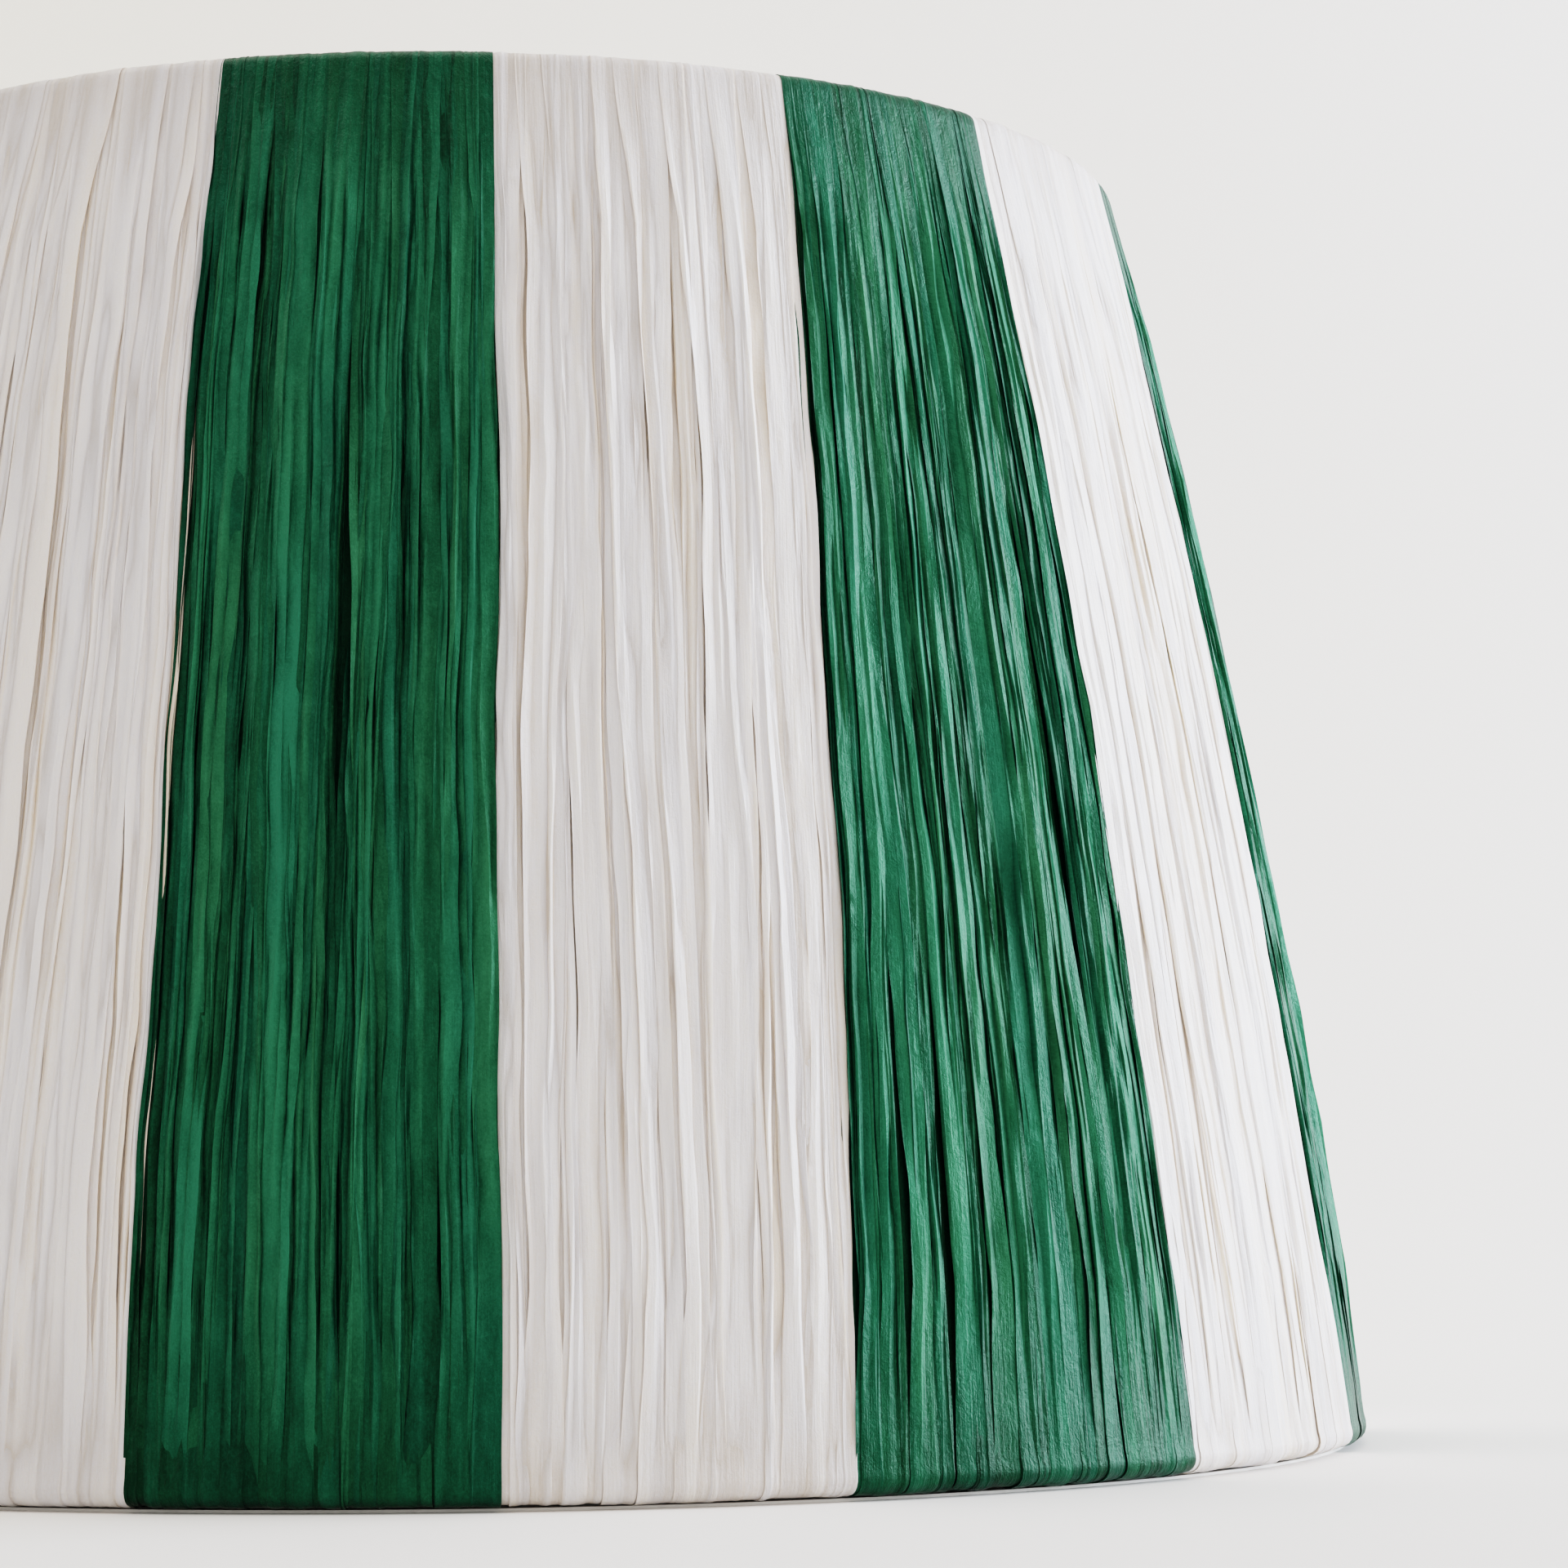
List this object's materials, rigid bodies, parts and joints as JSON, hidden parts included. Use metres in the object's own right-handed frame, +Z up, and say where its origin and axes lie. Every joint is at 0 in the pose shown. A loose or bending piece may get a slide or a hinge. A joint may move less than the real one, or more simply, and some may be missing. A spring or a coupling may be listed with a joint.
{
  "type": "lampshade",
  "caption": "Tapered drum lampshade wound with crinkled paper raffia in alternating vertical stripes, with a plastic liner and a reversible lamp fitter.",
  "frame": {"origin": "centre of the circle the shade stands on, at table height", "axes": "+Z up along the shade's axis; +X along the fitter's hinge axis; -Y towards the front"},
  "size_m": [0.3026, 0.3024, 0.21],
  "materials": {
    "coated_steel": "satin off-white coating on steel wire",
    "liner_plastic": "smooth matte translucent sheet",
    "reducer_plastic": "moulded, satin",
    "green_raffia": "crinkled paper ribbon with a satin sheen",
    "white_raffia": "crinkled paper ribbon with a satin sheen"
  },
  "bodies": {
    "shade": {"top_ring": "coated_steel", "bottom_ring": "coated_steel", "frame_strut_1": "coated_steel", "frame_strut_2": "coated_steel", "frame_strut_3": "coated_steel", "frame_strut_4": "coated_steel", "frame_strut_5": "coated_steel", "frame_strut_6": "coated_steel", "frame_strut_7": "coated_steel", "frame_strut_8": "coated_steel", "hinge_lug_1": "coated_steel", "hinge_lug_2": "coated_steel", "plastic_liner": "liner_plastic", "white_raffia_wrap_1": "white_raffia", "green_raffia_wrap_1": "green_raffia", "white_raffia_wrap_2": "white_raffia", "green_raffia_wrap_2": "green_raffia", "white_raffia_wrap_3": "white_raffia", "green_raffia_wrap_3": "green_raffia", "white_raffia_wrap_4": "white_raffia", "green_raffia_wrap_4": "green_raffia", "white_raffia_wrap_5": "white_raffia", "green_raffia_wrap_5": "green_raffia", "white_raffia_wrap_6": "white_raffia", "green_raffia_wrap_6": "green_raffia", "white_raffia_wrap_7": "white_raffia", "green_raffia_wrap_7": "green_raffia", "white_raffia_wrap_8": "white_raffia", "green_raffia_wrap_8": "green_raffia"},
    "fitter": {"fitter_ring": "coated_steel", "fitter_arm_1": "coated_steel", "fitter_arm_2": "coated_steel"},
    "reducer": {"reducer_ring": "reducer_plastic"}
  },
  "joints": [
    {"name": "fitter_hinge", "type": "hinge", "parent": "shade", "child": "fitter", "pos_m": [0, 0, 0.20065], "axis": [1, 0, 0], "range_deg": [-180, 180]},
    {"name": "reducer_lift", "type": "slide", "parent": "fitter", "child": "reducer", "axis": [0, 0, 1], "range_m": [0, 0.03]}
  ]
}
